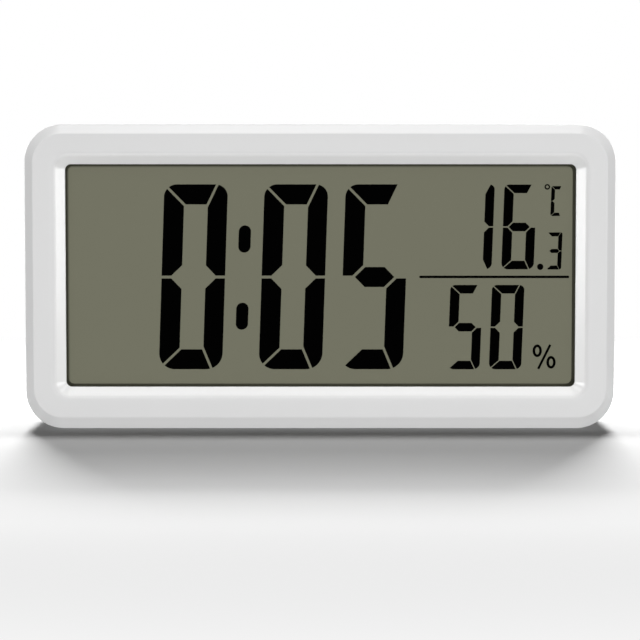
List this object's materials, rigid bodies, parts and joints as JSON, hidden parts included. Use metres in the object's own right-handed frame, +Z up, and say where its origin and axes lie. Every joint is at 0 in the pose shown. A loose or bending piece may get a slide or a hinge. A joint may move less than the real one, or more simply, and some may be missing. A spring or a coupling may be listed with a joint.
{
  "type": "digital clock",
  "caption": "Desk clock with a wide liquid-crystal display for time, temperature and humidity in a white moulded case, with rear setting buttons, battery bay and fold-out stand.",
  "frame": {"origin": "on the surface that the clock stands on, under the middle of the case", "axes": "+X to the right seen from the front, -Y out of the display, +Z up"},
  "size_m": [0.165, 0.028, 0.085],
  "materials": {
    "white_case": "satin white moulding",
    "clear_lens": "clear polished acrylic",
    "black_foam": "black foam strip",
    "display_film": "olive-grey polarizing film with black strokes",
    "display_glass": "thin display glass",
    "reflector": "metallised film",
    "natural_plastic": "uncoloured moulding",
    "zebra_rubber": "layered conductive rubber",
    "circuit_board": "green solder resist",
    "black_component": "black epoxy",
    "steel": "bright plated steel",
    "cell_wrap": "plain printed sleeve over a metal can",
    "red_lead": "red wire insulation",
    "black_lead": "black wire insulation"
  },
  "bodies": {
    "case": {"front_frame": "white_case", "display_lens": "clear_lens", "dust_gasket": "black_foam", "lcd_polarizer": "display_film", "lcd_front_glass": "display_glass", "lcd_rear_glass": "display_glass", "lcd_reflector": "reflector", "lcd_holder": "natural_plastic", "zebra_strip_top": "zebra_rubber", "zebra_strip_bottom": "zebra_rubber", "main_board": "circuit_board", "controller_chip": "black_component", "crystal": "steel", "climate_sensor": "black_component", "tact_switch_set": "black_component", "tact_switch_up": "black_component", "tact_switch_down": "black_component", "tact_switch_unit": "black_component", "battery_left": "cell_wrap", "battery_right": "cell_wrap", "battery_contact_positive": "steel", "battery_contact_negative": "steel", "battery_link": "steel", "battery_lead_red": "red_lead", "battery_lead_black": "black_lead", "rear_cover": "white_case", "stand_pin": "steel", "case_screw_1": "steel", "case_screw_2": "steel", "case_screw_3": "steel", "case_screw_4": "steel", "board_screw_1": "steel", "board_screw_2": "steel", "board_screw_3": "steel", "board_screw_4": "steel"},
    "stand": {"stand": "white_case"},
    "battery_door": {"battery_door": "white_case"},
    "set_button": {"set_button": "white_case", "switch_plunger_set": "natural_plastic"},
    "up_button": {"up_button": "white_case", "switch_plunger_up": "natural_plastic"},
    "down_button": {"down_button": "white_case", "switch_plunger_down": "natural_plastic"},
    "unit_button": {"unit_button": "white_case", "switch_plunger_unit": "natural_plastic"}
  },
  "joints": [
    {"name": "stand_hinge", "type": "hinge", "parent": "case", "child": "stand", "pos_m": [0, 0.0118, 0.06455], "axis": [1, 0, 0], "range_deg": [0, 60]},
    {"name": "battery_door_hinge", "type": "hinge", "parent": "case", "child": "battery_door", "pos_m": [0.049, 0.014, 0.0692], "axis": [1, 0, 0], "range_deg": [0, 80]},
    {"name": "set_button_press", "type": "slide", "parent": "case", "child": "set_button", "axis": [0, -1, 0], "range_m": [0, 0.0005], "stiffness_N_per_m": 400},
    {"name": "up_button_press", "type": "slide", "parent": "case", "child": "up_button", "axis": [0, -1, 0], "range_m": [0, 0.0005], "stiffness_N_per_m": 400},
    {"name": "down_button_press", "type": "slide", "parent": "case", "child": "down_button", "axis": [0, -1, 0], "range_m": [0, 0.0005], "stiffness_N_per_m": 400},
    {"name": "unit_button_press", "type": "slide", "parent": "case", "child": "unit_button", "axis": [0, -1, 0], "range_m": [0, 0.0005], "stiffness_N_per_m": 400}
  ]
}
